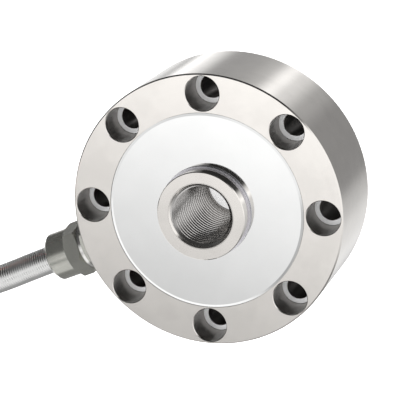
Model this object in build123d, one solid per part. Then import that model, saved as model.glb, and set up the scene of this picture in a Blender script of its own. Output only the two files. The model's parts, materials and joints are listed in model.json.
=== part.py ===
from build123d import *
from math import atan2, cos, pi, radians, sin, sqrt, tan
import os

# Pancake load cell. A spoked steel disc measures the force between its outer ring, which is
# bolted down through eight counterbored holes, and its threaded hub. Millimetres, +Z up.
# The origin is the middle of the base face, and the cable gland points along +X.

# Flange ring
ring_d = 105
ring_height = 41
ring_edge_chamfer = 0.5
bolt_count = 8
bolt_edge = 7.5
bolt_hole_d = 9
counterbore_d = 13.2
counterbore_depth = 13
counterbore_chamfer = 0.25

# Hub
hub_d = 34
hub_rise = 6.5
hub_recess = 1
hub_edge_chamfer = 0.3
hub_shoulder_d = 35.2
hub_shoulder_rise = 1
hub_body_d = 39
thread_d = 24
thread_mouth_flare = 0.5
thread_mouth_angle = 30

# Covers
cover_land = 0.75
cover_thickness = 2
cover_bevel = 0.9
cover_bevel_depth = 0.15
cover_rim_gap = 0.15
cover_ledge = 3.35
cover_clearance = 0.05

# Spokes, and the gauges bonded to their sides
spoke_count = 4
spoke_width = 10
spoke_height = 24
spoke_root_radius = 2
gauge_length = 5.5
gauge_height = 8
gauge_thickness = 0.4
ribbon_width = 1.5
ribbon_thickness = 0.3

# Circuit board and what stands on it
board_thickness = 1
board_gap = 0.8
resistor_d = 2.2
resistor_length = 6
resistor_end_round = 0.44
resistor_wire_d = 0.5
resistor_wire_bend = 1
resistor_span = 9
resistor_lift = 0.4

# Signal cable and its four cores
cable_d = 5
cable_inner_end = 3
core_count = 4
core_d = 1
core_spacing = 1.25
core_bend_radius = 4
core_rise_inset = 7.5
core_stand = 0.6
core_hole_clearance = 0.1

# Cable gland
gland_height = 21.5
port_d = 12
port_depth = 10.4
port_bore_d = 8
spot_face_d = 22
spot_face_depth = 1.1
body_across_flats = 19
nut_across_flats = 19
nut_hex_turn = 17.5
body_hex_turn = 5
hex_chamfer_angle = 30
stem_length = 10
seal_washer_thickness = 1.2
seal_washer_d = 18
body_hex_length = 6
lock_washer_thickness = 1.4
lock_washer_d = 18.6
spigot_d = 14
spigot_length = 7.2
nut_hex_length = 6.2
nut_sleeve_d = 19
nut_sleeve_length = 9.3
nut_end_chamfer = 1.3
nut_end_wall = 3
seal_seat_d = 8.4
seal_seat_depth = 9
thrust_ring_length = 2.6
gland_clearance = 0.05
cable_clearance = 0.2

# Armoured hose: a straight run, a coil of two layers, and the last turn lying on them
hose_d = 11
floor_gap = 0.05
tie_thickness = 1
tie_clearance = 0.1
tie_width = 4.6
tie_head = 6
coil_turn_pitch = 11.2
coil_outer_r = 66.5
coil_layer_turns = 2
coil_x = 165
coil_edge_land = 0.5
lead_in = 40
descent_x = 106
landing_x = 145
tail_straight = 18
top_turn_r = 62
top_turn_step = 34
tail_ferrule_d = 13
tail_ferrule_length = 14
tail_ferrule_grip = 9
tail_ferrule_chamfer = 1

# Free end of the lead
sleeve_d = 6.2
sleeve_length = 14
sleeve_grip = 8
sleeve_nose = 2
sleeve_nose_land = 0.2
lead_d = 1.4
lead_circle_r = 1.7
lead_tip_d = 0.8
lead_tip_length = 5

# Cutters pass the faces that they cut by this much, and the arcs of a route take this share of
# the shorter run beside them
cut_overrun = 1
arc_share = 0.45

# Worked out from the sizes above
ring_r = ring_d / 2
bolt_circle_d = ring_d - 2 * bolt_edge
cover_d = bolt_circle_d - counterbore_d - 2 * cover_land
seat_r = cover_d / 2 + cover_rim_gap
pocket_outer_r = seat_r - cover_ledge
hub_r = hub_d / 2
hub_shoulder_r = hub_shoulder_d / 2
hub_body_r = hub_body_d / 2
hub_top = ring_height + hub_rise
upper_seat = ring_height - cover_thickness
lower_seat = hub_recess + cover_thickness
spoke_bottom = (ring_height - spoke_height) / 2
spoke_top = spoke_bottom + spoke_height
spoke_turn = 180 / spoke_count
root_aside = spoke_width / 2 + spoke_root_radius
straight_start = sqrt((hub_body_r + spoke_root_radius) ** 2 - root_aside ** 2)
straight_end = sqrt((pocket_outer_r - spoke_root_radius) ** 2 - root_aside ** 2)
gauge_reach = (straight_start + straight_end) / 2
thread_r = thread_d / 2
mouth_r = thread_r + thread_mouth_flare
mouth_depth = thread_mouth_flare / tan(radians(thread_mouth_angle))
board_top = spoke_top + board_thickness

spot_face_x = ring_r - spot_face_depth
washer_x = spot_face_x + seal_washer_thickness
body_hex_end = washer_x + body_hex_length
nut_start = body_hex_end + lock_washer_thickness
nut_hex_end = nut_start + nut_hex_length
nut_end = nut_hex_end + nut_sleeve_length
spigot_end = body_hex_end + spigot_length
nut_cavity_end = nut_end - nut_end_wall
seal_start = spigot_end - seal_seat_depth
thrust_start = spigot_end - thrust_ring_length

hose_r = hose_d / 2
coil_bottom = floor_gap + tie_thickness + tie_clearance
coil_inner_r = coil_outer_r - coil_layer_turns * coil_turn_pitch
lower_turn_z = coil_bottom + hose_r
upper_turn_z = lower_turn_z + coil_turn_pitch
coil_top = upper_turn_z + hose_r
coil_y = -coil_outer_r
entry_x = coil_x - lead_in
entry_share = (landing_x - entry_x) / (landing_x - descent_x)
entry_z = lower_turn_z + entry_share * (gland_height - lower_turn_z)
top_turn_z = coil_top + floor_gap + hose_r
hose_end_z = coil_top + floor_gap + tail_ferrule_d / 2
tail_z = coil_top + floor_gap + sleeve_d / 2
lead_z = coil_top + floor_gap + lead_d / 2


def round_coil(radius, angle, height):
    """A point at a radius and angle about the middle of the coil."""
    turn = radians(angle)
    return (coil_x + radius * cos(turn), coil_y + radius * sin(turn), height)


def straight_on(points, distance):
    """The point straight ahead of a route's end."""
    before, end = (Vector(*point) for point in points[-2:])
    return tuple(end + (end - before).normalized() * distance)


# Routes of what lies free, chosen by hand. The tail leads are (along, across) from the sleeve.
hose_run_points = [
    (spigot_end, 0, gland_height), (descent_x, 0, gland_height), (entry_x, 0, entry_z),
]
entry_points = [(entry_x, 0, entry_z), (landing_x, 0, lower_turn_z), (coil_x, 0, lower_turn_z)]
top_turn_points = [
    round_coil(coil_outer_r, 90, upper_turn_z), round_coil(67, 60, 24),
    round_coil(top_turn_r, 28, top_turn_z), round_coil(top_turn_r, 28 - top_turn_step, top_turn_z),
    round_coil(top_turn_r, 28 - 2 * top_turn_step, top_turn_z),
    round_coil(top_turn_r, 28 - 3 * top_turn_step, hose_end_z), round_coil(57, -108, hose_end_z),
]
tail_points = [
    top_turn_points[-1], straight_on(top_turn_points, tail_straight), round_coil(61, -143, 27),
    round_coil(61, -163, tail_z), round_coil(59, -183, tail_z),
]
tie_places = [(28 - top_turn_step / 2, True), (-124, False)]
tail_leads = {
    "red": ("firebrick", [(8, 0), (17, 1), (28, -3), (38, -9)]),
    "black": ("gray20", [(8, 0), (18, -6), (28, -14), (35, -24)]),
    "green": ("forestgreen", [(8, 0), (17, -9), (24, -18), (29, -29)]),
    "white": ("white", [(8, 0), (14, -11), (17, -22), (18, -33)]),
    "shield": ("lightgray", [(8, 0), (18, -3), (29, -8), (39, -16)]),
}


def save(shape, name, colour):
    """Write one node as its STEP file."""
    shape.label = name
    shape.color = Color(colour)
    export_step(shape, f"parts/{name}.step")


def along_x(shape, height=gland_height):
    """Turn a shape modelled along +Z so that it points along +X at the gland's height."""
    return Pos(0, 0, height) * Rot(0, 90, 0) * shape


def turned(points):
    """Revolve a closed outline of (radius, height) points about Z."""
    return revolve(Plane.XZ * make_face(Polyline(*points, close=True)), Axis.Z)


def tube_wall(outer_d, inner_d, start, end):
    """A plain ring between two heights, or a full cylinder where its bore is 0."""
    length = end - start
    wall = Cylinder(outer_d / 2, length)
    if inner_d:
        wall -= Cylinder(inner_d / 2, length)
    return Pos(0, 0, (start + end) / 2) * wall


def hexagon(across_flats, start, end, turn):
    """Hexagon bar along Z with both ends chamfered, and a corner turned up from +Y."""
    length = end - start
    flat_r = across_flats / 2
    corner_r = across_flats / sqrt(3)
    bar = extrude(RegularPolygon(corner_r, 6, rotation=90 + turn), length)
    drop = (corner_r - flat_r) * tan(radians(hex_chamfer_angle))
    turning = turned([
        (0, 0), (flat_r, 0), (corner_r, drop), (corner_r, length - drop), (flat_r, length), (0, length),
    ])
    return Pos(0, 0, start) * (bar & turning)


def round_sweep(path, diameter):
    """A round bar along a path."""
    return sweep(Plane(origin=path @ 0, z_dir=path % 0) * Circle(diameter / 2), path=path)


def cord_radii(points):
    """The largest arcs that the neighbouring runs leave room for."""
    places = [Vector(*point) for point in points]
    radii = []
    for before, corner, after in zip(places, places[1:], places[2:]):
        turn = (corner - before).get_angle(after - corner)
        shorter = min((corner - before).length, (after - corner).length)
        half = radians(turn / 2)
        radii.append(arc_share * shorter * cos(half) / sin(half))
    return radii


def cord(points, diameter, name):
    """A plain round solid along a route of points, with its radii and length printed."""
    radii = cord_radii(points)
    path = FilletPolyline(*points, radius=radii)
    solid = round_sweep(path, diameter)
    expected = pi * diameter ** 2 / 4 * path.length
    shown = ", ".join(f"{radius:.0f}" for radius in radii)
    print(f"{name}: length {path.length:.1f}, radii {shown}, volume {solid.volume / expected:.4f}")
    return solid, path


def ring_section():
    """Half section of the flange ring, with the seats of both covers."""
    cut = ring_edge_chamfer
    return [
        (pocket_outer_r, lower_seat), (seat_r, lower_seat), (seat_r, 0), (ring_r - cut, 0),
        (ring_r, cut), (ring_r, ring_height - cut), (ring_r - cut, ring_height),
        (seat_r, ring_height), (seat_r, upper_seat), (pocket_outer_r, upper_seat),
    ]


def hub_section():
    """Half section of the hub: shoulders for both covers and a conical mouth at each end."""
    step_top = ring_height + hub_shoulder_rise
    return [
        (mouth_r, hub_recess), (hub_shoulder_r, hub_recess), (hub_shoulder_r, lower_seat),
        (hub_body_r, lower_seat), (hub_body_r, upper_seat), (hub_shoulder_r, upper_seat),
        (hub_shoulder_r, step_top), (hub_r, step_top), (hub_r, hub_top - hub_edge_chamfer),
        (hub_r - hub_edge_chamfer, hub_top), (mouth_r, hub_top),
        (thread_r, hub_top - mouth_depth), (thread_r, hub_recess + mouth_depth),
    ]


def spokes():
    """Radial beams between hub and ring, with rounded roots."""
    windows = Circle(pocket_outer_r) - Circle(hub_body_r)
    for index in range(spoke_count):
        turn = Rot(0, 0, spoke_turn + index * 360 / spoke_count)
        windows -= turn * Pos(pocket_outer_r / 2, 0) * Rectangle(2 * pocket_outer_r, spoke_width)
    windows = fillet(windows.vertices(), spoke_root_radius)
    web = tube_wall(2 * pocket_outer_r, 2 * hub_body_r, spoke_bottom, spoke_top)
    return web - Pos(0, 0, spoke_bottom) * extrude(windows, spoke_height)


def bolt_cutter():
    """One fixing hole: clearance bore, counterbore and the small chamfer at its rim."""
    floor = ring_height - counterbore_depth
    rim = counterbore_d / 2 + counterbore_chamfer
    below, above = -cut_overrun, ring_height + cut_overrun
    return turned([
        (0, below), (bolt_hole_d / 2, below), (bolt_hole_d / 2, floor), (counterbore_d / 2, floor),
        (counterbore_d / 2, ring_height - counterbore_chamfer), (rim, ring_height),
        (rim, above), (0, above),
    ])


def bolt_places():
    """Fixing holes on their circle, half a pitch away from the gland."""
    return PolarLocations(bolt_circle_d / 2, bolt_count, start_angle=180 / bolt_count)


def gland_port():
    """Flat, tapped bore and cable bore through the side of the ring."""
    port_end = spot_face_x - port_depth
    flat = tube_wall(spot_face_d, 0, spot_face_x, ring_r + cut_overrun)
    tapped = tube_wall(port_d, 0, port_end, spot_face_x)
    bore = tube_wall(port_bore_d, 0, pocket_outer_r - cut_overrun, port_end)
    return along_x(flat + tapped + bore)


def sensing_element():
    """Ring, hub and spokes in one piece."""
    element = turned(ring_section()) + turned(hub_section()) + spokes()
    for place in bolt_places():
        element -= place * bolt_cutter()
    return element - gland_port()


def cover(outer_face, inner_face):
    """Disc between ring and hub, with a shallow bevel round its outer rim."""
    inner_r = hub_shoulder_r + cover_clearance
    outer_r = cover_d / 2
    depth = cover_bevel_depth if outer_face > inner_face else -cover_bevel_depth
    return turned([
        (inner_r, inner_face), (outer_r, inner_face), (outer_r, outer_face - depth),
        (outer_r - cover_bevel, outer_face), (inner_r, outer_face),
    ])


def spoke_sides():
    """Places on the two sides of every spoke: x outward, y along the side's normal."""
    for index in range(spoke_count):
        turn = Rot(0, 0, spoke_turn + index * 360 / spoke_count)
        for side in (0, 180):
            mirror_x = gauge_reach if side == 0 else -gauge_reach
            yield turn * Rot(0, 0, side) * Pos(mirror_x, spoke_width / 2, 0)


def strain_gauge():
    """Foil gauge on its carrier, under its coating, standing on a spoke's side."""
    middle_z = (spoke_bottom + spoke_top) / 2
    return Pos(0, gauge_thickness / 2, middle_z) * Box(gauge_length, gauge_thickness, gauge_height)


def gauge_ribbon():
    """Flat pair of wires from the top of a gauge to the board."""
    start = (spoke_bottom + spoke_top) / 2 + gauge_height / 2
    length = spoke_top - start
    middle = Pos(0, gauge_thickness / 2, start + length / 2)
    return middle * Box(ribbon_width, ribbon_thickness, length)


def core_offsets():
    """The cores side by side, about the cable's axis."""
    first = -(core_count - 1) / 2 * core_spacing
    return [first + index * core_spacing for index in range(core_count)]


def bridge_board():
    """Ring-shaped board on top of the spokes, with four soldering holes."""
    inner_r = hub_body_r + board_gap
    outer_r = pocket_outer_r - board_gap
    board = tube_wall(2 * outer_r, 2 * inner_r, spoke_top, board_top)
    hole_x = pocket_outer_r - core_rise_inset
    for offset in core_offsets():
        hole = Cylinder(core_d / 2 + core_hole_clearance, 3 * board_thickness)
        board -= Pos(hole_x, offset, board_top) * hole
    return board


def resistor():
    """Axial resistor lying along Y, with both wires bent down to the board."""
    axis_z = board_top + resistor_lift + resistor_d / 2
    body = Pos(0, 0, axis_z) * Rot(90, 0, 0) * Cylinder(resistor_d / 2, resistor_length)
    half = resistor_span / 2
    wire_path = FilletPolyline(
        (0, -half, board_top), (0, -half, axis_z), (0, half, axis_z), (0, half, board_top),
        radius=resistor_wire_bend,
    )
    body = fillet(body.edges().filter_by(GeomType.CIRCLE), resistor_end_round)
    return body + round_sweep(wire_path, resistor_wire_d)


def inner_lead(offset):
    """One core: straight out of the cable, then up through the board."""
    rise_x = pocket_outer_r - core_rise_inset
    start_x = pocket_outer_r - cable_inner_end
    path = FilletPolyline(
        (start_x, offset, gland_height), (rise_x, offset, gland_height),
        (rise_x, offset, board_top + core_stand), radius=core_bend_radius,
    )
    return round_sweep(path, core_d)


def signal_cable():
    """Cable from the end of the hose through the gland into the space between two spokes."""
    return along_x(tube_wall(cable_d, 0, pocket_outer_r - cable_inner_end, spigot_end))


def gland_body():
    """Screwed stem, hexagon and spigot, bored for the cable and for its seal."""
    stem_r = port_d / 2 - gland_clearance
    bore_r = cable_d / 2 + cable_clearance
    core = turned([
        (bore_r, spot_face_x - stem_length), (stem_r, spot_face_x - stem_length), (stem_r, washer_x),
        (spigot_d / 2, washer_x), (spigot_d / 2, spigot_end), (seal_seat_d / 2, spigot_end),
        (seal_seat_d / 2, seal_start), (bore_r, seal_start),
    ])
    collar = hexagon(body_across_flats, washer_x, body_hex_end, body_hex_turn)
    collar -= tube_wall(spigot_d, 0, washer_x, body_hex_end)
    return along_x(core + collar)


def gland_nut():
    """Nut in one piece: hexagon, plain sleeve with a chamfered end, and a wall round the hose."""
    sleeve_r = nut_sleeve_d / 2
    bore_d = spigot_d + 2 * gland_clearance
    sleeve = turned([
        (0, nut_hex_end), (sleeve_r, nut_hex_end), (sleeve_r, nut_end - nut_end_chamfer),
        (sleeve_r - nut_end_chamfer, nut_end), (0, nut_end),
    ])
    blank = sleeve + hexagon(nut_across_flats, nut_start, nut_hex_end, nut_hex_turn)
    blank -= tube_wall(bore_d, 0, nut_start, nut_cavity_end)
    return along_x(blank - tube_wall(hose_d + 2 * gland_clearance, 0, nut_start, nut_end))


def gland_rings():
    """The plain rings of the gland: (name, colour, outer diameter, bore, start, end)."""
    seat_fit = seal_seat_d - 2 * gland_clearance
    spigot_fit = spigot_d + 2 * gland_clearance
    hose_fit = hose_d + 2 * gland_clearance
    cable_fit = cable_d + 2 * gland_clearance
    cable_hole = cable_d + 2 * cable_clearance
    return [
        ("gland_seal_washer", "peru", seal_washer_d, port_d, spot_face_x, washer_x),
        ("gland_lock_washer", "silver", lock_washer_d, spigot_fit, body_hex_end, nut_start),
        ("gland_cable_seal", "gray20", seat_fit, cable_fit, seal_start, thrust_start),
        ("gland_thrust_ring", "goldenrod", seat_fit, cable_hole, thrust_start, spigot_end),
        ("hose_ferrule", "goldenrod", spigot_d, hose_fit, spigot_end, nut_cavity_end),
    ]


def hose_coil():
    """Outer shape of the coiled hose, with its straight entry and its last turn on top."""
    inner_r = coil_inner_r - hose_r
    outer_r = coil_outer_r + hose_r
    ring = tube_wall(2 * outer_r, 2 * inner_r, coil_bottom, coil_top)
    ring = fillet(ring.edges().filter_by(GeomType.CIRCLE), hose_r - coil_edge_land)
    entry, path = cord(entry_points, hose_d, "entry of the coil")
    top_turn, path = cord(top_turn_points, hose_d, "last turn")
    return Pos(coil_x, coil_y, 0) * ring + entry + top_turn


def coil_tie(angle, over_top_turn):
    """Tie round the section of the coil, with its head on the inside."""
    inner_r = coil_inner_r - hose_r - tie_clearance
    outer_r = coil_outer_r + hose_r + tie_clearance
    low = coil_bottom - tie_clearance
    high = coil_top + tie_clearance
    opening = RectangleRounded(outer_r - inner_r, high - low, hose_r - coil_edge_land)
    opening = Pos((inner_r + outer_r) / 2, (low + high) / 2) * opening
    if over_top_turn:
        middle_r = top_turn_r * cos(radians(top_turn_step / 2))
        opening += Pos(middle_r, top_turn_z) * Circle(hose_r + tie_clearance)
        opening = make_hull(opening.edges())
    band = offset(opening, tie_thickness) - opening
    strap = extrude(Plane.XZ * band, tie_width / 2, both=True)
    head_x = inner_r - (tie_thickness + tie_head) / 2
    head = Pos(head_x, 0, (low + high) / 2) * Box(tie_head, tie_head, tie_head)
    return Pos(coil_x, coil_y, 0) * Rot(0, 0, angle) * (strap + head)


def hose_end_ferrule():
    """Turned cap over the end of the hose, with a hole for the cable."""
    outer_r = tail_ferrule_d / 2
    wall_start = tail_ferrule_grip
    end = tail_ferrule_length
    cap = turned([
        (hose_r + gland_clearance, 0), (outer_r, 0), (outer_r, end - tail_ferrule_chamfer),
        (outer_r - tail_ferrule_chamfer, end), (cable_d / 2 + gland_clearance, end),
        (cable_d / 2 + gland_clearance, wall_start), (hose_r + gland_clearance, wall_start),
    ])
    before, end_point = (Vector(*point) for point in top_turn_points[-2:])
    return Plane(origin=end_point, z_dir=end_point - before) * Pos(0, 0, -tail_ferrule_grip) * cap


def heat_shrink_sleeve(tail_path):
    """Sleeve shrunk over the end of the jacket and closed round the leads."""
    outer_r = sleeve_d / 2
    fit_r = cable_d / 2 + gland_clearance
    nose_r = lead_circle_r + lead_d / 2 + sleeve_nose_land
    sleeve = turned([
        (fit_r, 0), (outer_r, 0), (outer_r, sleeve_length - sleeve_nose), (nose_r, sleeve_length),
        (0, sleeve_length), (0, sleeve_grip), (fit_r, sleeve_grip),
    ])
    end = Plane(origin=tail_path @ 1, z_dir=tail_path % 1)
    return end * Pos(0, 0, -sleeve_grip) * sleeve


def tail_lead(tail_path, index, points, name):
    """One core of the free end: bent down to lie on the coil, with a bare tip."""
    ahead = tail_path % 1
    heading = atan2(ahead.Y, ahead.X)
    start = tail_path @ 1 + ahead * (sleeve_length - sleeve_grip)
    around = 2 * pi * index / len(tail_leads)
    across = lead_circle_r * cos(around)
    height = start.Z + lead_circle_r * sin(around)
    local = [(0, across, height), (points[0][0], across + points[0][1], height)]
    local += [(along, across + aside, lead_z) for along, aside in points[1:]]
    places = []
    for along, aside, z in local:
        x = start.X + along * cos(heading) - aside * sin(heading)
        y = start.Y + along * sin(heading) + aside * cos(heading)
        places.append((x, y, z))
    insulated, path = cord(places, lead_d, name)
    tip = extrude(Plane(origin=path @ 1, z_dir=path % 1) * Circle(lead_tip_d / 2), lead_tip_length)
    return insulated + tip


def save_cell():
    """The cell itself: element, covers, gauges and board."""
    save(sensing_element(), "sensing_element", "lightsteelblue")
    save(cover(ring_height, upper_seat), "top_cover", "gainsboro")
    save(cover(hub_recess, lower_seat), "bottom_cover", "gainsboro")
    for number, side in enumerate(spoke_sides(), start=1):
        save(side * strain_gauge(), f"strain_gauge_{number}", "orange")
        save(side * gauge_ribbon(), f"gauge_ribbon_{number}", "brown")
    save(bridge_board(), "bridge_board", "darkgreen")
    board_middle_r = (hub_body_r + pocket_outer_r) / 2
    resistors = ["zero_trim_resistor", "span_trim_resistor", "zero_drift_resistor"]
    for number, name in enumerate(resistors, start=1):
        save(Rot(0, 0, 90 * number) * Pos(board_middle_r, 0, 0) * resistor(), name, "tan")


def save_gland():
    """The gland and the cable that goes through it."""
    save(gland_body(), "gland_body", "slategray")
    save(gland_nut(), "gland_nut", "slategray")
    for name, colour, outer_d, inner_d, start, end in gland_rings():
        save(along_x(tube_wall(outer_d, inner_d, start, end)), name, colour)
    save(signal_cable(), "signal_cable", "gray20")
    for name, shift in zip(("red", "black", "green", "white"), core_offsets()):
        save(inner_lead(shift), f"inner_lead_{name}", tail_leads[name][0])


def save_lead():
    """The armoured hose and its free end."""
    run, run_path = cord(hose_run_points, hose_d, "armour_hose_run")
    save(run, "armour_hose_run", "dimgray")
    save(hose_coil(), "armour_hose_coil", "gray")
    for number, (angle, over_top_turn) in enumerate(tie_places, start=1):
        save(coil_tie(angle, over_top_turn), f"coil_tie_{number}", "gray20")
    save(hose_end_ferrule(), "hose_end_ferrule", "goldenrod")
    tail, tail_path = cord(tail_points, cable_d, "cable_tail")
    save(tail, "cable_tail", "gray20")
    save(heat_shrink_sleeve(tail_path), "heat_shrink_sleeve", "gray20")
    for index, (name, (colour, points)) in enumerate(tail_leads.items()):
        node = f"tail_lead_{name}"
        save(tail_lead(tail_path, index, points, node), node, colour)


os.makedirs("parts", exist_ok=True)
save_cell()
save_gland()
save_lead()
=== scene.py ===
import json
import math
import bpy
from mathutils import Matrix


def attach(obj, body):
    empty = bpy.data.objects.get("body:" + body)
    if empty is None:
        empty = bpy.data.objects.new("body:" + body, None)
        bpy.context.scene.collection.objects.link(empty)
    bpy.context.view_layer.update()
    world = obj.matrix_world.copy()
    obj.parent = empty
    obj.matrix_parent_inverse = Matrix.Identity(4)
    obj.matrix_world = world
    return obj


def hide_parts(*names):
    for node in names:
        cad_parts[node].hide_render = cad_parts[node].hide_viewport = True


bl_info = {
    "name": "Pancake load cell",
    "version": (1, 0, 0),
    "blender": (4, 5, 0),
    "location": "View3D > Sidebar > Load cell",
    "description": "Hose, lead ends, hub thread, finishes and studio for a flanged load cell",
    "category": "Object",
}

import bpy
from mathutils import Matrix, Vector

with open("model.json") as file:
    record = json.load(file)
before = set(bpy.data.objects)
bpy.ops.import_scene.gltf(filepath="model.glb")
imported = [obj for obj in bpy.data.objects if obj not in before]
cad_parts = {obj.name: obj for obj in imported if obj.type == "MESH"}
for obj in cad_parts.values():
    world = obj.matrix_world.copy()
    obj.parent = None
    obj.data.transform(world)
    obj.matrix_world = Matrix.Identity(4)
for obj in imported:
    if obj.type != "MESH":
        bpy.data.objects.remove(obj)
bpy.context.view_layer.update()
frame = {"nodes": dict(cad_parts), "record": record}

MM = 0.001

# Height of the gland's axis and diameters of the lead, in metres
GLAND_HEIGHT = 0.0215
CABLE_DIAMETER = 0.005
LEAD_DIAMETER = 0.0014
TIP_RADIUS, TIP_LENGTH = 0.0004, 0.005

# Routes in millimetres. The hose leaves the gland along +X, comes down to the bench, winds a coil
# of two layers and lays its last turn on top of them.
COIL_MIDDLE = (165, -66.5)
COIL_WIDE, COIL_NARROW = 66.5, 44.1
LOWER_LAYER, UPPER_LAYER, TOP_TURN = 6.65, 17.85, 28.9

# The five leads stand on a circle in the sleeve, come out of it and lie on the coil.
SLEEVE_REACH = 6
LEAD_CIRCLE = 1.7
LEAD_HEIGHT = 24.1


def round_coil(radius, angle, height):
    """A point at a radius and angle about the middle of the coil."""
    turn = math.radians(angle)
    x, y = COIL_MIDDLE
    return (x + radius * math.cos(turn), y + radius * math.sin(turn), height)


HOSE_RUN = [(65.8, 0, 21.5), (80, 0, 21.5), (108, 0.9, 21.5), (145, 0, LOWER_LAYER)]
LAST_TURN = [
    round_coil(67, 60, 24), round_coil(62, 28, TOP_TURN), round_coil(62, -6, TOP_TURN),
    round_coil(62, -40, TOP_TURN), round_coil(62, -74, 29.9), round_coil(57, -108, 29.9),
]
TAIL = [
    LAST_TURN[-1], (129.6, -117.95, 29.9), round_coil(61, -143, 27), round_coil(61, -163, 26.5),
    round_coil(59, -183, 26.5),
]

# Each lead's points, as distances along the sleeve's direction and across it
TAIL_LEADS = {
    "red": [(8, 0), (17, 1), (28, -3), (38, -9)],
    "black": [(8, 0), (18, -6), (28, -14), (35, -24)],
    "green": [(8, 0), (17, -9), (24, -18), (29, -29)],
    "white": [(8, 0), (14, -11), (17, -22), (18, -33)],
    "shield": [(8, 0), (18, -3), (29, -8), (39, -16)],
}

# Where the finishes of the sensing element change, in metres. Each pair says where a mask is
# empty and where it is full.
BOLT_CIRCLE = 0.045
HOLE_SPACING = math.radians(45)
HOLE_ROUND, HOLE_DEPTH = (0.00672, 0.00664), (0.0408, 0.0406)
HOLE_WALL, SCREW_BORE = (0.0064, 0.0065), (0.0047, 0.0046)
HUB_ROUND, HUB_RISE = (0.0178, 0.0177), (0.0409, 0.041)
HUB_SIDE, WELD_HEIGHT = (0.0168, 0.0169), (0.0423, 0.0421)
BORE_MOUTH = (0.01275, 0.0127)

# The camera of the photograph
CAMERA_PLACE = (-0.26931, -0.10420, 0.67691)
CAMERA_RIGHT = (-0.86621, 0.39548, -0.30541)
CAMERA_UP = (-0.31690, -0.90736, -0.27617)
CAMERA_AHEAD = (0.38634, 0.14244, -0.91129)


# Small helpers for meshes

def deselect():
    bpy.ops.object.select_all(action="DESELECT")


def keep_only(obj):
    deselect()
    obj.select_set(True)
    bpy.context.view_layer.objects.active = obj


def rolled_grid(name, columns, rows, place):
    """A grid rolled into an open tube: place(column, row) gives each point."""
    deselect()
    bpy.ops.mesh.primitive_grid_add(x_subdivisions=columns, y_subdivisions=rows, size=2)
    obj = bpy.context.object
    obj.name = obj.data.name = name
    for vertex in obj.data.vertices:
        column = round((vertex.co.x + 1) / 2 * columns)
        row = round((vertex.co.y + 1) / 2 * rows)
        vertex.co = place(column, row)
    return obj


def close_tube(obj):
    """Merge the long seam, close both ends and turn the faces outwards."""
    keep_only(obj)
    bpy.ops.object.mode_set(mode="EDIT")
    bpy.ops.mesh.select_mode(type="VERT")
    bpy.ops.mesh.select_all(action="SELECT")
    bpy.ops.mesh.remove_doubles(threshold=1e-6)
    bpy.ops.mesh.select_all(action="DESELECT")
    bpy.ops.mesh.select_non_manifold(extend=False, use_wire=False, use_multi_face=False,
                                     use_non_contiguous=False, use_verts=False)
    bpy.ops.mesh.fill_holes(sides=0)
    bpy.ops.mesh.select_all(action="SELECT")
    bpy.ops.mesh.normals_make_consistent(inside=False)
    bpy.ops.mesh.select_all(action="DESELECT")
    bpy.ops.object.mode_set(mode="OBJECT")


def smooth_by_angle(obj, degrees):
    keep_only(obj)
    bpy.ops.object.shade_smooth_by_angle(angle=math.radians(degrees))


def route_curve(name, points, diameter, resolution=12):
    """A smooth cord along a route in millimetres. Its diameter is in metres."""
    data = bpy.data.curves.new(name, "CURVE")
    data.dimensions = "3D"
    data.resolution_u = resolution
    data.bevel_depth = diameter / 2
    data.bevel_resolution = 5
    data.use_fill_caps = True
    spline = data.splines.new("NURBS")
    spline.points.add(len(points) - 1)
    for control, point in zip(spline.points, points):
        control.co = (*(MM * value for value in point), 1)
    spline.order_u = 3
    spline.use_endpoint_u = True
    obj = bpy.data.objects.new(name, data)
    bpy.context.scene.collection.objects.link(obj)
    return obj


def line_of(points, resolution=12):
    """The smooth line through a route, as closely spaced points in metres."""
    carrier = route_curve("route_line", points, 0, resolution)
    carrier.data.use_fill_caps = False
    mesh = bpy.data.meshes.new_from_object(carrier)
    line = [vertex.co.copy() for vertex in mesh.vertices]
    bpy.data.meshes.remove(mesh)
    data = carrier.data
    bpy.data.objects.remove(carrier)
    bpy.data.curves.remove(data)
    return line


class Track:
    """Places along a line: point, side and upward directions at a distance from its start."""

    def __init__(self, line):
        self.line = line
        self.along = [0.0]
        for a, b in zip(line, line[1:]):
            self.along.append(self.along[-1] + (b - a).length)
        self.length = self.along[-1]
        self.index = 0

    def at(self, distance):
        distance = min(max(distance, 0.0), self.length)
        if distance < self.along[self.index]:
            self.index = 0
        while self.index < len(self.line) - 2 and self.along[self.index + 1] < distance:
            self.index += 1
        a, b = self.line[self.index], self.line[self.index + 1]
        step = self.along[self.index + 1] - self.along[self.index]
        share = (distance - self.along[self.index]) / step if step else 0.0
        ahead = (b - a).normalized()
        before = (a - self.line[self.index - 1]).normalized() if self.index else ahead
        ahead = before.lerp(ahead, min(1.0, 0.5 + share)).normalized()
        side = Vector((0, 0, 1)).cross(ahead).normalized()
        return a.lerp(b, share), side, ahead.cross(side)


# Small helpers for materials

def scaled(colour, share):
    return tuple(share * value for value in colour)


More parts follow.
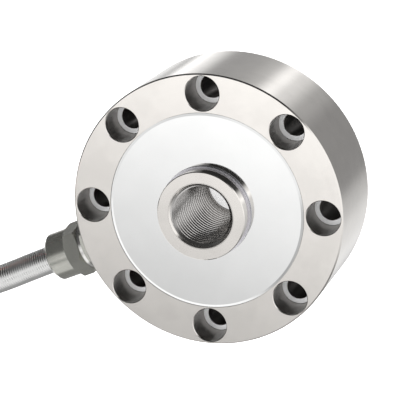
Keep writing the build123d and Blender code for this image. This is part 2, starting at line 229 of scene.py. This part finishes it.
class Nodes:
    """A node tree that is filled by short calls."""

    def __init__(self, tree):
        self.tree = tree
        tree.nodes.clear()

    def add(self, kind, **values):
        node = self.tree.nodes.new(kind)
        for name, value in values.items():
            setattr(node, name, value)
        return node

    def link(self, a, b):
        self.tree.links.new(a, b)

    def put(self, socket, value):
        if isinstance(value, bpy.types.NodeSocket):
            self.link(value, socket)
        else:
            socket.default_value = value

    def dress(self, shader, values):
        """Link or set the shader's sockets by name."""
        for name, value in values.items():
            self.put(shader.inputs[name], value)

    def math(self, operation, a, b=0.0, clamp=False):
        node = self.add("ShaderNodeMath", operation=operation, use_clamp=clamp)
        self.put(node.inputs[0], a)
        self.put(node.inputs[1], b)
        return node.outputs[0]

    def plus(self, a, b, clamp=False):
        return self.math("ADD", a, b, clamp)

    def minus(self, a, b, clamp=False):
        return self.math("SUBTRACT", a, b, clamp)

    def times(self, a, b):
        return self.math("MULTIPLY", a, b)

    def distance(self, x, y):
        return self.math("SQRT", self.plus(self.times(x, x), self.times(y, y)))

    def vector(self, operation, a, b=(0, 0, 0), out=0):
        node = self.add("ShaderNodeVectorMath", operation=operation)
        self.put(node.inputs[0], a)
        self.put(node.inputs[1], b)
        return node.outputs[out]

    def dot(self, a, b):
        return self.vector("DOT_PRODUCT", a, b, out=1)

    def split(self, vector):
        node = self.add("ShaderNodeSeparateXYZ")
        self.link(vector, node.inputs[0])
        return tuple(node.outputs)

    def join(self, x, y, z):
        node = self.add("ShaderNodeCombineXYZ")
        for socket, value in zip(node.inputs, (x, y, z)):
            self.put(socket, value)
        return node.outputs[0]

    def fit(self, value, low, high, to_low=0.0, to_high=1.0, kind="SMOOTHSTEP"):
        """A smooth step from one value to another, which may be the smaller one."""
        node = self.add("ShaderNodeMapRange", interpolation_type=kind)
        for socket, number in zip(node.inputs, (value, low, high, to_low, to_high)):
            self.put(socket, number)
        return node.outputs[0]

    def fade(self, value, low, high, to_low=0.0, to_high=1.0):
        """The same as a straight ramp."""
        return self.fit(value, low, high, to_low, to_high, "LINEAR")

    def ramp(self, value, stops):
        """Grey tones at places from 0 to 1, with eased steps between them."""
        node = self.add("ShaderNodeValToRGB")
        node.color_ramp.interpolation = "EASE"
        elements = node.color_ramp.elements
        while len(elements) < len(stops):
            elements.new(0.5)
        for element, (place, tone) in zip(elements, stops):
            element.position = place
            element.color = (tone, tone, tone, 1)
        self.link(value, node.inputs[0])
        return node.outputs[0]

    def blend(self, factor, a, b):
        node = self.add("ShaderNodeMix", data_type="RGBA")
        self.put(node.inputs[0], factor)
        for socket, value in ((node.inputs[6], a), (node.inputs[7], b)):
            if isinstance(value, (int, float)):
                value = (value, value, value, 1)
            elif isinstance(value, tuple) and len(value) == 3:
                value = (*value, 1)
            self.put(socket, value)
        return node.outputs[2]

    def noise(self, vector, scale, detail=3.0, roughness=0.5):
        node = self.add("ShaderNodeTexNoise")
        self.link(vector, node.inputs["Vector"])
        node.inputs["Scale"].default_value = scale
        node.inputs["Detail"].default_value = detail
        node.inputs["Roughness"].default_value = roughness
        return node.outputs["Fac"]

    def bump(self, height, strength, distance):
        node = self.add("ShaderNodeBump")
        node.inputs["Strength"].default_value = strength
        node.inputs["Distance"].default_value = distance
        self.link(height, node.inputs["Height"])
        return node.outputs["Normal"]


def new_material(name):
    """An empty finish. A plain one that the frame brought under the same name is taken over."""
    material = bpy.data.materials.get(name) or bpy.data.materials.new(name)
    material.use_nodes = True
    nodes = Nodes(material.node_tree)
    shader = nodes.add("ShaderNodeBsdfPrincipled")
    output = nodes.add("ShaderNodeOutputMaterial")
    nodes.surface = output.inputs[0]
    nodes.link(shader.outputs[0], nodes.surface)
    return nodes, shader


def turned_coordinates(nodes, axis="Z"):
    """Object position, then x, y and z with Z along the axis of turning, and the radius."""
    place = nodes.add("ShaderNodeTexCoord").outputs["Object"]
    x, y, z = nodes.split(place)
    if axis == "X":
        x, y, z = y, nodes.minus(z, GLAND_HEIGHT), x
    return place, x, y, z, nodes.distance(x, y)


def turning_marks(nodes, x, y, z, radius, fineness):
    """Fine grooves that run round the axis and fade in and out along their length."""
    along = nodes.times(nodes.plus(radius, z), fineness)
    inverse = nodes.math("DIVIDE", 1.0, nodes.math("MAXIMUM", radius, 1e-4))
    around_x = nodes.times(nodes.times(x, inverse), 1.5)
    around_y = nodes.times(nodes.times(y, inverse), 1.5)
    return nodes.join(along, around_x, around_y)


def round_tangent(nodes, place, axis="Z"):
    """Direction round the axis, for the stretched highlights of turned metal."""
    direction = (0, 0, 1)
    if axis == "X":
        place = nodes.vector("SUBTRACT", place, (0, 0, GLAND_HEIGHT))
        direction = (1, 0, 0)
    return nodes.vector("NORMALIZE", nodes.vector("CROSS_PRODUCT", direction, place))


def turned_steel(name, colour, roughness, stretch, axis="Z", metallic=1.0):
    """Turned steel with fine grooves, faint stains and stretched highlights."""
    nodes, shader = new_material(name)
    place, x, y, z, radius = turned_coordinates(nodes, axis)
    grooves = nodes.noise(turning_marks(nodes, x, y, z, radius, 9000.0), 1.0, 4.0, 0.6)
    stains = nodes.noise(place, 120.0, 3.0, 0.55)
    nodes.dress(shader, {
        "Base Color": nodes.blend(nodes.fit(stains, 0.35, 0.65), scaled(colour, 0.93), colour),
        "Roughness": nodes.fade(grooves, 0.3, 0.7, roughness - 0.04, roughness + 0.04),
        "Metallic": metallic,
        "Anisotropic": stretch,
        "Anisotropic Rotation": 0.25,
        "Tangent": round_tangent(nodes, place, axis),
        "Normal": nodes.bump(grooves, 0.25, 0.000004),
    })


def body_steel(settings):
    """The sensing element: turned faces, rougher bored holes darkened with painted shade, pale
    matt seats whose tone is a painted highlight, and a smoother hub with a dull weld round its
    foot. Bump opens the mouth of its bore."""
    nodes, shader = new_material("body_steel")
    place, x, y, z, radius = turned_coordinates(nodes)
    grooves = nodes.noise(turning_marks(nodes, x, y, z, radius, 7000.0), 1.0, 4.0, 0.6)
    stains = nodes.noise(place, 90.0, 3.0, 0.55)

    angle = nodes.math("ARCTAN2", y, x)
    folded = nodes.minus(nodes.math("FLOORED_MODULO", angle, HOLE_SPACING), HOLE_SPACING / 2)
    hole_x = nodes.minus(nodes.times(radius, nodes.math("COSINE", folded)), BOLT_CIRCLE)
    hole_y = nodes.times(radius, nodes.math("SINE", folded))
    from_hole = nodes.distance(hole_x, hole_y)
    in_hole = nodes.times(nodes.fade(from_hole, *HOLE_ROUND), nodes.fade(z, *HOLE_DEPTH))
    wall = nodes.times(in_hole, nodes.fade(from_hole, *HOLE_WALL))
    bore = nodes.times(in_hole, nodes.fade(from_hole, *SCREW_BORE))
    dark = nodes.math("MAXIMUM", wall, bore)
    seat = nodes.minus(in_hole, dark, clamp=True)
    hub = nodes.times(nodes.fade(radius, *HUB_ROUND), nodes.fade(z, *HUB_RISE))
    hub_side = nodes.times(hub, nodes.fade(radius, *HUB_SIDE))
    weld = nodes.times(hub_side, nodes.fade(z, *WELD_HEIGHT))
    mouth = nodes.times(nodes.fade(radius, *BORE_MOUTH), hub)

    colour, bored_shade = tuple(settings.body_colour), tuple(settings.bored_shade_colour)
    base = nodes.blend(nodes.fit(stains, 0.35, 0.65), scaled(colour, 0.95), colour)
    # The bored holes' dark tone is painted shade in the recesses, darkest in the through bore; the
    # seats' pale non-metal tone is a painted highlight on their milled floor.
    finishes = ((dark, bored_shade), (seat, 0.97), (weld, (0.84, 0.83, 0.88)), (bore, scaled(bored_shade, 0.8)))
    for mask, finish in finishes:
        base = nodes.blend(mask, base, finish)
    even = settings.body_roughness
    rough = nodes.fade(grooves, 0.3, 0.7, even - 0.03, even + 0.03)
    for mask, change in ((dark, 0.18), (seat, 0.50), (weld, 0.38), (hub_side, -0.11)):
        rough = nodes.plus(rough, nodes.times(mask, change), clamp=True)
    height = nodes.plus(nodes.times(grooves, 0.000001), nodes.times(nodes.times(mouth, z), -0.3))
    nodes.dress(shader, {
        "Base Color": base,
        "Roughness": rough,
        "Metallic": nodes.minus(1.0, seat),
        "Anisotropic": 0.55,
        "Anisotropic Rotation": 0.25,
        "Tangent": round_tangent(nodes, place),
        "Normal": nodes.bump(height, 1.0, 1.0),
    })


def polished_steel(settings):
    """The covers: lapped nearly to a mirror, with faint hazy patches and hairlines."""
    nodes, shader = new_material("cover_steel")
    place, x, y, z, radius = turned_coordinates(nodes)
    haze = nodes.noise(place, 70.0, 4.0, 0.6)
    hairlines = nodes.noise(turning_marks(nodes, x, y, z, radius, 11000.0), 1.0, 3.0, 0.6)
    colour, smooth = tuple(settings.cover_colour), settings.cover_roughness
    nodes.dress(shader, {
        "Base Color": nodes.blend(nodes.fit(haze, 0.3, 0.7), scaled(colour, 0.97), colour),
        "Roughness": nodes.fit(haze, 0.3, 0.7, smooth, smooth + 0.03),
        "Metallic": 1.0,
        "Normal": nodes.bump(hairlines, 0.08, 0.000002),
    })


def hose_steel(settings):
    """Bright wound strip with faint patches."""
    nodes, shader = new_material("hose_steel")
    place = nodes.add("ShaderNodeTexCoord").outputs["Object"]
    patches = nodes.noise(place, 160.0, 3.0, 0.5)
    colour = tuple(settings.hose_colour)
    nodes.dress(shader, {
        "Base Color": nodes.blend(nodes.fit(patches, 0.3, 0.7), scaled(colour, 0.9), colour),
        "Roughness": nodes.fit(patches, 0.3, 0.7, 0.26, 0.33),
        "Metallic": 1.0,
    })


def plain_coat(name, colour, roughness, scale=900.0, spread=0.12):
    """A moulded, rubber or enamelled surface with fine grain and a slight change of colour."""
    nodes, shader = new_material(name)
    place = nodes.add("ShaderNodeTexCoord").outputs["Object"]
    grain = nodes.noise(place, scale, 4.0, 0.6)
    patches = nodes.noise(place, scale / 9, 2.0, 0.5)
    light = tuple(min(1.0, value) for value in scaled(colour, 1 + spread))
    nodes.dress(shader, {
        "Base Color": nodes.blend(nodes.fit(patches, 0.3, 0.7), scaled(colour, 1 - spread), light),
        "Roughness": nodes.fit(grain, 0.3, 0.7, roughness - 0.06, roughness + 0.06),
        "Normal": nodes.bump(grain, 0.4, 0.00002),
    })


# Settings that a user would change

def colour_property(name, description, default):
    return bpy.props.FloatVectorProperty(
        name=name, description=description, default=default, size=3, min=0.0, max=1.0,
        subtype="COLOR")


def length_property(name, description, default, low, high, precision):
    return bpy.props.FloatProperty(
        name=name, description=description, default=default, min=low, max=high, unit="LENGTH",
        precision=precision)


def share_property(name, description, default, low=0.0):
    return bpy.props.FloatProperty(
        name=name, description=description, default=default, min=low, max=1.0, subtype="FACTOR")


class LoadCellHoseSettings(bpy.types.PropertyGroup):
    diameter: length_property(
        "Diameter", "Outer diameter of the armoured hose", 0.011, 0.004, 0.03, 4)
    rib_pitch: length_property(
        "Rib pitch", "Distance from one rib of the wound strip to the next", 0.001, 0.0005, 0.004, 4)
    rib_depth: length_property(
        "Rib depth", "Depth of the valley between two ribs", 0.00012, 0.0, 0.001, 5)
    fine_length: length_property(
        "Fine length", "Length next to the gland that gets more rows", 0.075, 0.0, 0.12, 3)


class LoadCellThreadSettings(bpy.types.PropertyGroup):
    root_radius: length_property(
        "Root radius", "Radius at the root of the hub's inside thread", 0.01193, 0.005, 0.03, 5)
    crest_radius: length_property(
        "Crest radius", "Radius at the crest of the hub's inside thread", 0.01092, 0.005, 0.03, 5)
    pitch: length_property("Pitch", "Rise of the thread in one turn", 0.002, 0.0005, 0.004, 4)


class LoadCellFinishSettings(bpy.types.PropertyGroup):
    body_colour: colour_property("Body", "Turned steel of the ring and hub", (0.80, 0.77, 0.735))
    # Darker than the body: painted shade in the screw holes, over their rougher bored walls.
    bored_shade_colour: colour_property("Bored holes", "Walls of the screw holes", (0.42, 0.405, 0.39))
    cover_colour: colour_property("Covers", "Polished steel of the covers", (0.88, 0.882, 0.877))
    gland_colour: colour_property("Gland", "Darker steel of the cable gland", (0.43, 0.43, 0.395))
    hose_colour: colour_property("Hose", "Wound strip of the armoured hose", (0.78, 0.78, 0.77))
    brass_colour: colour_property("Brass", "Rings inside the gland", (0.76, 0.60, 0.30))
    body_roughness: share_property("Body roughness", "Roughness of the turned faces", 0.12, 0.05)
    cover_roughness: share_property("Cover roughness", "Roughness of the polished covers", 0.06)


class LoadCellStageSettings(bpy.types.PropertyGroup):
    lens: bpy.props.FloatProperty(
        name="Lens", description="Focal length on a 36 mm sensor", default=168.72, min=20.0,
        max=400.0, subtype="DISTANCE_CAMERA")
    floor_size: length_property("Floor size", "Side of the pale floor", 6.0, 1.0, 20.0, 2)
    floor_colour: colour_property("Floor", "Pale floor under the object", (0.86, 0.86, 0.86))


# The stage: camera, floor, lamp and the studio that the steel reflects

def studio_world():
    """Studio that the steel reflects, in bands by height with their own tones all round. Other
    surfaces are lit by one plain level, and the camera sees white."""
    world = bpy.data.worlds.new("studio")
    bpy.context.scene.world = world
    world.use_nodes = True
    nodes = Nodes(world.node_tree)
    way = nodes.vector("NORMALIZE", nodes.add("ShaderNodeTexCoord").outputs["Generated"])
    x, y, z = nodes.split(way)
    angle = nodes.math("ARCTAN2", y, x)
    turn = nodes.math("FRACT", nodes.plus(nodes.math("DIVIDE", angle, 2 * math.pi), 1.0))

    # Seen by the side wall, from below
    low = nodes.ramp(turn, [
        (0.00, 1.20), (0.05, 1.40), (0.10, 0.60), (0.14, 0.74), (0.18, 0.92), (0.25, 0.84),
        (0.32, 0.58), (0.37, 0.30), (0.52, 0.30), (0.58, 0.44), (0.64, 0.85), (0.67, 1.25),
        (0.71, 0.55), (0.75, 0.42), (0.82, 0.36), (0.865, 0.96), (0.90, 1.60), (0.935, 0.42),
        (0.97, 0.95),
    ])
    # Seen by the hub's wall, by way of the cover
    high = nodes.ramp(turn, [
        (0.00, 0.58), (0.06, 0.62), (0.11, 0.56), (0.17, 0.42), (0.22, 0.58), (0.28, 0.75),
        (0.40, 0.92), (0.445, 1.45), (0.475, 1.00), (0.53, 0.06), (0.60, 0.03), (0.80, 0.03),
        (0.835, 0.22), (0.90, 0.78), (0.95, 0.85),
    ])
    # Seen by the gland, the hose and the thread, with darker parts at its foot and its top
    belt = nodes.ramp(turn, [
        (0.00, 1.05), (0.03, 1.18), (0.12, 1.15), (0.20, 1.05), (0.30, 0.68), (0.43, 1.15),
        (0.53, 1.20), (0.565, 0.25), (0.60, 0.05), (0.80, 0.06), (0.84, 0.11), (0.905, 0.14),
        (0.95, 0.90),
    ])
    foot = nodes.ramp(turn, [
        (0.00, 0.25), (0.10, 0.34), (0.30, 0.34), (0.36, 1.0), (0.95, 1.0), (0.97, 0.25),
    ])
    belt = nodes.vector("MULTIPLY", belt, nodes.blend(nodes.fit(z, 0.10, 0.30), foot, 1.0))
    top = nodes.ramp(turn, [(0.33, 1.0), (0.38, 0.25), (0.56, 0.25), (0.60, 1.0)])
    belt = nodes.vector("MULTIPLY", belt, nodes.blend(nodes.fit(z, 0.45, 0.58), 1.0, top))

    sky = nodes.blend(nodes.fit(z, 0.955, 0.985), high, 1.0)
    all_round = nodes.blend(nodes.fit(z, 0.78, 0.86), belt, sky)
    # How much deeper the belt reaches down on each side
    deeper = nodes.ramp(turn, [
        (0.00, 0.25), (0.08, 0.25), (0.12, 0.44), (0.30, 0.44), (0.36, 0.0), (0.60, 0.0),
        (0.66, 0.44), (0.84, 0.44), (0.875, 0.50), (0.89, 0.50), (0.91, 0.0), (0.94, 0.0),
        (0.97, 0.25),
    ])
    edge = nodes.fit(nodes.plus(z, deeper), -0.42, -0.22)
    all_round = nodes.blend(edge, low, all_round)
    # A sloping card that the flat faces show
    card = nodes.fade(nodes.dot(way, (-0.707, -0.707, 0.0)), -0.497, -0.254, 0.30, 1.60)
    on_card = nodes.fit(nodes.dot(way, (0.386, 0.142, 0.911)), 0.978, 0.990)
    all_round = nodes.blend(on_card, all_round, card)

    rays = nodes.add("ShaderNodeLightPath").outputs
    plain = nodes.blend(rays["Is Diffuse Ray"], all_round, 2.1)
    background = nodes.add("ShaderNodeBackground")
    nodes.put(background.inputs["Color"], nodes.blend(rays["Is Camera Ray"], plain, 1.0))
    output = nodes.add("ShaderNodeOutputWorld")
    nodes.link(background.outputs[0], output.inputs[0])


def floor_material(colour):
    """Pale floor that shows white where it is lit. Reflections see through it, apart from a painted
    shadow under the cell and a glowing patch of painted light that shows in the hub's thread."""
    nodes, shader = new_material("pale_floor")
    place = nodes.add("ShaderNodeTexCoord").outputs["Object"]
    grain = nodes.noise(place, 300.0, 3.0, 0.5)
    nodes.dress(shader, {
        "Base Color": nodes.blend(grain, scaled(colour, 0.97), colour),
        "Roughness": 0.9,
        "Specular IOR Level": 0.0,
    })
    from_middle = nodes.vector("LENGTH", place, out=1)

    # A glowing patch under the hub's bore, seen only in reflections: painted light that the thread
    # shows.
    away = nodes.fit(nodes.dot(place, (0.94, 0.342, 0.0)), 0.0086, 0.0066)
    across = nodes.fit(nodes.dot(place, (-0.342, 0.94, 0.0)), -0.0100, -0.0065)
    painted_glow_patch = nodes.fit(nodes.times(away, across), 0.0, 1.0, 0.06, 1.0)
    bore = nodes.times(nodes.fit(from_middle, 0.0135, 0.0125), painted_glow_patch)
    rays = nodes.add("ShaderNodeLightPath").outputs
    in_bore = nodes.times(rays["Is Glossy Ray"], bore)
    glow = nodes.add("ShaderNodeEmission")
    shown = nodes.times(rays["Is Camera Ray"], 0.60)
    nodes.put(glow.inputs["Strength"], nodes.plus(shown, nodes.times(in_bore, 0.95)))
    lit = nodes.add("ShaderNodeAddShader")
    nodes.link(shader.outputs[0], lit.inputs[0])
    nodes.link(glow.outputs[0], lit.inputs[1])

    # In reflections the floor is clear, apart from a dark painted shadow under the cell.
    clear = nodes.add("ShaderNodeBsdfTransparent")
    nodes.put(clear.inputs["Color"], nodes.fit(from_middle, 0.046, 0.05, 0.06, 1.0))
    mix = nodes.add("ShaderNodeMixShader")
    nodes.put(mix.inputs[0], nodes.minus(rays["Is Glossy Ray"], in_bore))
    nodes.link(lit.outputs[0], mix.inputs[1])
    nodes.link(clear.outputs[0], mix.inputs[2])
    nodes.link(mix.outputs[0], nodes.surface)


class LOADCELL_OT_stage(bpy.types.Operator):
    """Camera, pale floor, one soft lamp and the studio world"""
    bl_idname = "loadcell.stage"
    bl_label = "Stage"

    def execute(self, context):
        settings = context.scene.load_cell_stage
        context.scene.view_settings.view_transform = "Standard"
        data = bpy.data.cameras.new("camera")
        data.sensor_width = 36.0
        data.sensor_fit = "HORIZONTAL"
        data.lens = settings.lens
        data.clip_start, data.clip_end = 0.01, 50.0
        camera = bpy.data.objects.new("camera", data)
        turn = Matrix((Vector(CAMERA_RIGHT), Vector(CAMERA_UP), -Vector(CAMERA_AHEAD))).transposed()
        camera.matrix_world = Matrix.Translation(CAMERA_PLACE) @ turn.to_4x4()
        context.scene.collection.objects.link(camera)
        context.scene.camera = camera

        deselect()
        bpy.ops.mesh.primitive_plane_add(size=settings.floor_size, location=(0, 0, 0))
        floor = context.object
        floor.name = "floor"
        floor_material(tuple(settings.floor_colour))
        floor.data.materials.append(bpy.data.materials["pale_floor"])

        lamp_data = bpy.data.lights.new("soft_lamp", "AREA")
        lamp_data.shape = "DISK"
        lamp_data.size = 0.9
        lamp_data.energy = 9.0
        lamp = bpy.data.objects.new("soft_lamp", lamp_data)
        lamp.location = (0.55, -0.6, 1.3)
        towards_cell = Vector((0, 0, 0.02)) - lamp.location
        lamp.rotation_euler = towards_cell.to_track_quat("-Z", "Y").to_euler()
        lamp.visible_glossy = False
        context.scene.collection.objects.link(lamp)
        studio_world()
        return {"FINISHED"}


# The lead: hose, cable tail and its five leads

def coil_route():
    """The turns of the coil, clockwise from above: a lower layer inwards, then an upper layer
    outwards. Angles are in degrees."""
    step, layer, climb = 22.5, 686.25, 67.5
    count = round((2 * layer + climb) / step)
    outside = 1 / math.cos(math.radians(step / 2))
    points = []
    for index in range(count):
        turned = (index + 0.5) * step
        inwards = min(turned / layer, 1.0)
        rise = min(max((turned - layer) / climb, 0.0), 1.0)
        outwards = max((turned - layer - climb) / layer, 0.0)
        radius = COIL_WIDE - (COIL_WIDE - COIL_NARROW) * (inwards - outwards)
        height = LOWER_LAYER + (UPPER_LAYER - LOWER_LAYER) * rise
        points.append(round_coil(outside * radius, 90 - turned, height))
    return points


class LOADCELL_OT_hose(bpy.types.Operator):
    """Armoured hose of wound strip, from the gland through its coil to the end ferrule"""
    bl_idname = "loadcell.hose"
    bl_label = "Armoured hose"

    def execute(self, context):
        settings = context.scene.load_cell_hose
        radius, pitch, depth = settings.diameter / 2, settings.rib_pitch, settings.rib_depth
        line = line_of(HOSE_RUN + coil_route() + LAST_TURN, 24)
        track = Track(line)
        columns, fine_rows, coarse_rows = 20, 6, 2
        fine_ribs = int(settings.fine_length / pitch)
        ribs = int(track.length / pitch) - 2
        coarse_count = (ribs - fine_ribs) * coarse_rows + 1
        places = [pitch * row / fine_rows for row in range(fine_ribs * fine_rows)]
        places += [pitch * (fine_ribs + row / coarse_rows) for row in range(coarse_count)]
        rings = [(place, *track.at(place)) for place in places]

        def spot(column, row):
            place, middle, side, upward = rings[row]
            around = 2 * math.pi * column / columns
            valley = 0.5 - 0.5 * math.cos(2 * math.pi * place / pitch)
            reach = radius - depth * valley
            return middle + (side * math.cos(around) + upward * math.sin(around)) * reach

        hose = rolled_grid("armoured_hose", columns, len(places) - 1, spot)
        close_tube(hose)
        smooth_by_angle(hose, 80)
        hose.data.materials.append(bpy.data.materials["hose_steel"])
        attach(hose, "root")
        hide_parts("armour_hose_run", "armour_hose_coil")
        return {"FINISHED"}


class LOADCELL_OT_cable_tail(bpy.types.Operator):
    """Bare end of the signal cable, past the hose's ferrule"""
    bl_idname = "loadcell.cable_tail"
    bl_label = "Cable tail"

    def execute(self, context):
        tail = route_curve("cable_end", TAIL, CABLE_DIAMETER)
        tail.data.materials.append(bpy.data.materials["cable_jacket"])
        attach(tail, "root")
        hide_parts("cable_tail")
        Track(line_of(TAIL)).length
        return {"FINISHED"}


def lead_route(index, points):
    """One lead's points in millimetres: out of the sleeve, down to the coil and outwards."""
    ahead = Vector((TAIL[-1][0] - TAIL[-2][0], TAIL[-1][1] - TAIL[-2][1], 0)).normalized()
    across_way = Vector((-ahead.y, ahead.x, 0))
    start = Vector(TAIL[-1]) + SLEEVE_REACH * ahead
    around = math.radians(360 / len(TAIL_LEADS) * index)
    across, lift = LEAD_CIRCLE * math.cos(around), LEAD_CIRCLE * math.sin(around)
    local = [(0, across, start.z + lift), (points[0][0], across, start.z + lift)]
    local += [(along, across + aside, LEAD_HEIGHT) for along, aside in points[1:]]
    route = []
    for along, aside, height in local:
        flat = start + ahead * along + across_way * aside
        route.append((flat.x, flat.y, height))
    return route


def lead_tip(name, before, end):
    """Tinned strands at the end of a lead: a short round bar with bevelled edges."""
    deselect()
    bpy.ops.mesh.primitive_cylinder_add(
        vertices=14, radius=TIP_RADIUS, depth=TIP_LENGTH, location=(0, 0, TIP_LENGTH / 2))
    tip = bpy.context.object
    tip.name = tip.data.name = name
    bpy.ops.object.transform_apply(location=True, rotation=True, scale=True)
    bpy.ops.object.mode_set(mode="EDIT")
    bpy.ops.mesh.select_all(action="SELECT")
    bpy.ops.mesh.bevel(offset=0.00012, segments=2, affect="EDGES", clamp_overlap=True)
    bpy.ops.mesh.select_all(action="DESELECT")
    bpy.ops.object.mode_set(mode="OBJECT")
    way = (Vector(end) - Vector(before)).normalized()
    turn = way.to_track_quat("Z", "X").to_matrix().to_4x4()
    tip.data.transform(Matrix.Translation(Vector(end) * MM) @ turn)
    smooth_by_angle(tip, 40)
    tip.data.materials.append(bpy.data.materials["tinned_copper"])
    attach(tip, "root")
    return tip


class LOADCELL_OT_tail_leads(bpy.types.Operator):
    """Five stripped leads that lie on the coil"""
    bl_idname = "loadcell.tail_leads"
    bl_label = "Tail leads"

    def execute(self, context):
        for index, (colour, points) in enumerate(TAIL_LEADS.items()):
            route = lead_route(index, points)
            lead = route_curve(f"lead_{colour}", route, LEAD_DIAMETER)
            lead.data.materials.append(bpy.data.materials[f"core_{colour}"])
            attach(lead, "root")
            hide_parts(f"tail_lead_{colour}")
            tip = lead_tip(f"lead_tip_{colour}", route[-2], route[-1])
            Track(line_of(route)).length
        return {"FINISHED"}


# The thread of the hub

class LOADCELL_OT_hub_thread(bpy.types.Operator):
    """Helical inside thread with conical mouths, lining the hub's bore"""
    bl_idname = "loadcell.hub_thread"
    bl_label = "Hub thread"

    def execute(self, context):
        settings = context.scene.load_cell_thread
        root, crest, pitch = settings.root_radius, settings.crest_radius, settings.pitch
        bottom, top = 0.001866, 0.046634
        mouth_radius, back = 0.012, 0.01204
        mouth_slope = math.tan(math.radians(45))
        columns = 96
        # One turn's outline: share of the pitch, and share of the way from root to crest
        profile = [(0.0, 0.0), (0.10, 0.0), (0.25, 0.5), (0.40, 1.0), (0.55, 1.0), (0.70, 1.0),
                   (0.85, 0.5), (0.92, 0.25)]
        turns = math.ceil((top - bottom) / pitch) + 4
        rows = turns * len(profile)

        def spot(column, row):
            angle = 2 * math.pi * column / columns
            if row == rows:
                radius, height = back, bottom
            else:
                share, rise = profile[row % len(profile)]
                height = bottom + pitch * (row // len(profile) - 2 + share + column / columns)
                if bottom < height < top:
                    cone = mouth_radius - min(top - height, height - bottom) * mouth_slope
                    radius = max(root - (root - crest) * rise, cone)
                else:
                    radius, height = back, min(max(height, bottom), top)
            return Vector((radius * math.cos(angle), radius * math.sin(angle), height))

        thread = rolled_grid("hub_thread", columns, rows, spot)
        close_tube(thread)
        smooth_by_angle(thread, 28)
        thread.data.materials.append(bpy.data.materials["thread_steel"])
        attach(thread, "root")
        return {"FINISHED"}


# Finishes of the CAD nodes and the new pieces

class LOADCELL_OT_finishes(bpy.types.Operator):
    """Procedural finishes for the record's material slots and the new pieces"""
    bl_idname = "loadcell.finishes"
    bl_label = "Finishes"

    def execute(self, context):
        settings = context.scene.load_cell_finish
        body_steel(settings)
        polished_steel(settings)
        hose_steel(settings)
        turned_steel("gland_steel", tuple(settings.gland_colour), 0.20, 0.4, "X", metallic=0.93)
        turned_steel("thread_steel", (0.62, 0.605, 0.59), 0.20, 0.3)
        turned_steel("lock_steel", (0.80, 0.79, 0.77), 0.22, 0.3, "X")
        turned_steel("brass", tuple(settings.brass_colour), 0.25, 0.3, "X")
        turned_steel("tinned_copper", (0.78, 0.76, 0.72), 0.3, 0.0)
        plain_coat("seal_rubber", (0.035, 0.035, 0.036), 0.55)
        plain_coat("gauge_film", (0.78, 0.44, 0.12), 0.3)
        plain_coat("ribbon_film", (0.45, 0.20, 0.08), 0.35)
        plain_coat("board_green", (0.03, 0.22, 0.08), 0.3, scale=500.0)
        plain_coat("resistor_body", (0.70, 0.58, 0.42), 0.35)
        plain_coat("cable_jacket", (0.045, 0.045, 0.048), 0.42)
        plain_coat("tie_nylon", (0.028, 0.028, 0.030), 0.38)
        plain_coat("core_red", (0.58, 0.035, 0.025), 0.32)
        plain_coat("core_black", (0.03, 0.03, 0.03), 0.32)
        plain_coat("core_green", (0.025, 0.30, 0.075), 0.32)
        plain_coat("core_white", (0.82, 0.82, 0.80), 0.32, spread=0.04)
        plain_coat("core_shield", (0.52, 0.53, 0.54), 0.28)
        for subpart in frame["record"]["subparts"]:
            slots = frame["nodes"][subpart["node"]].data.materials
            slots.clear()
            slots.append(bpy.data.materials[subpart["material_slot"]])
        return {"FINISHED"}


class LOADCELL_PT_panel(bpy.types.Panel):
    """Sizes, colours and steps of the load cell"""
    bl_idname = "LOADCELL_PT_panel"
    bl_label = "Load cell"
    bl_space_type = "VIEW_3D"
    bl_region_type = "UI"
    bl_category = "Load cell"

    def draw(self, context):
        for group, steps in PANEL_ROWS:
            box = self.layout.box()
            settings = getattr(context.scene, group)
            for name in settings.__annotations__:
                box.prop(settings, name)
            for step in steps:
                box.operator(step)


PANEL_ROWS = (
    ("load_cell_stage", ("loadcell.stage",)),
    ("load_cell_finish", ("loadcell.finishes",)),
    ("load_cell_hose", ("loadcell.hose", "loadcell.cable_tail", "loadcell.tail_leads")),
    ("load_cell_thread", ("loadcell.hub_thread",)),
)
SETTINGS = {
    "load_cell_stage": LoadCellStageSettings,
    "load_cell_finish": LoadCellFinishSettings,
    "load_cell_hose": LoadCellHoseSettings,
    "load_cell_thread": LoadCellThreadSettings,
}
OPERATORS = (
    LOADCELL_OT_stage, LOADCELL_OT_finishes, LOADCELL_OT_hose, LOADCELL_OT_cable_tail,
    LOADCELL_OT_tail_leads, LOADCELL_OT_hub_thread,
)


def register():
    for cls in (*SETTINGS.values(), *OPERATORS, LOADCELL_PT_panel):
        bpy.utils.register_class(cls)
    for name, cls in SETTINGS.items():
        setattr(bpy.types.Scene, name, bpy.props.PointerProperty(type=cls))


def unregister():
    for name in SETTINGS:
        delattr(bpy.types.Scene, name)
    for cls in (LOADCELL_PT_panel, *reversed(OPERATORS), *reversed(SETTINGS.values())):
        bpy.utils.unregister_class(cls)


def main():
    register()
    bpy.ops.loadcell.stage()
    bpy.ops.loadcell.finishes()
    bpy.ops.loadcell.hose()
    bpy.ops.loadcell.cable_tail()
    bpy.ops.loadcell.tail_leads()
    bpy.ops.loadcell.hub_thread()


if __name__ == "__main__":
    main()
